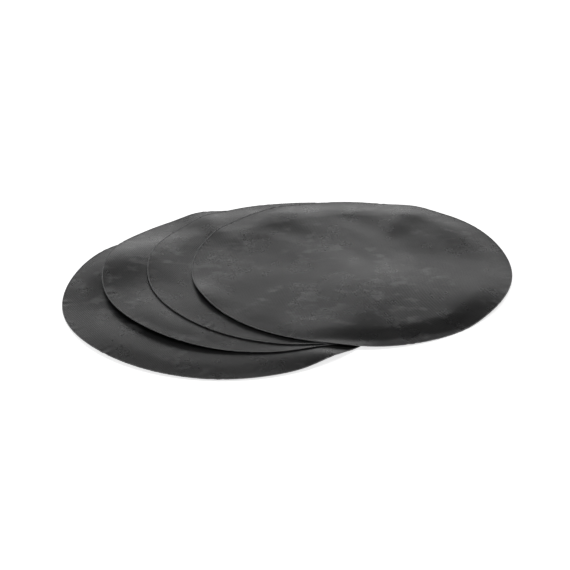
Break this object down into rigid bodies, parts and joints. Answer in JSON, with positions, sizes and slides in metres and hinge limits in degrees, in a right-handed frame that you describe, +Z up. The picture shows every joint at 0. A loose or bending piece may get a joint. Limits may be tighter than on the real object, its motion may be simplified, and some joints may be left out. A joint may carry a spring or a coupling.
{
  "type": "wheel cover set",
  "caption": "Round flexible wheel covers of black coated cloth with overlocked rims, lying fanned in a pile.",
  "frame": {"origin": "under the middle of the whole fanned set, on the surface that it lies on", "axes": "+X along the fan, from the bottom cover towards the top one; +Y across it, towards the back; +Z up"},
  "size_m": [0.9448, 0.8087, 0.0162],
  "materials": {
    "coated_cloth": "black coated woven cloth, satin, fine parallel weave with faint rub marks",
    "edge_thread": "dark grey polyester overlock thread, a little paler than the cloth, slightly shiny"
  },
  "bodies": {
    "cover_1": {"cover_1_panel": "coated_cloth", "cover_1_edge_thread": "edge_thread"},
    "cover_2": {"cover_2_panel": "coated_cloth", "cover_2_edge_thread": "edge_thread"},
    "cover_3": {"cover_3_panel": "coated_cloth", "cover_3_edge_thread": "edge_thread"},
    "cover_4": {"cover_4_panel": "coated_cloth", "cover_4_edge_thread": "edge_thread"}
  },
  "joints": [
    {"name": "cover_2_lift", "type": "slide", "parent": "cover_1", "child": "cover_2", "axis": [0, 0, 1], "range_m": [0, 0.25]},
    {"name": "cover_3_lift", "type": "slide", "parent": "cover_2", "child": "cover_3", "axis": [0, 0, 1], "range_m": [0, 0.25]},
    {"name": "cover_4_lift", "type": "slide", "parent": "cover_3", "child": "cover_4", "axis": [0, 0, 1], "range_m": [0, 0.25]}
  ]
}
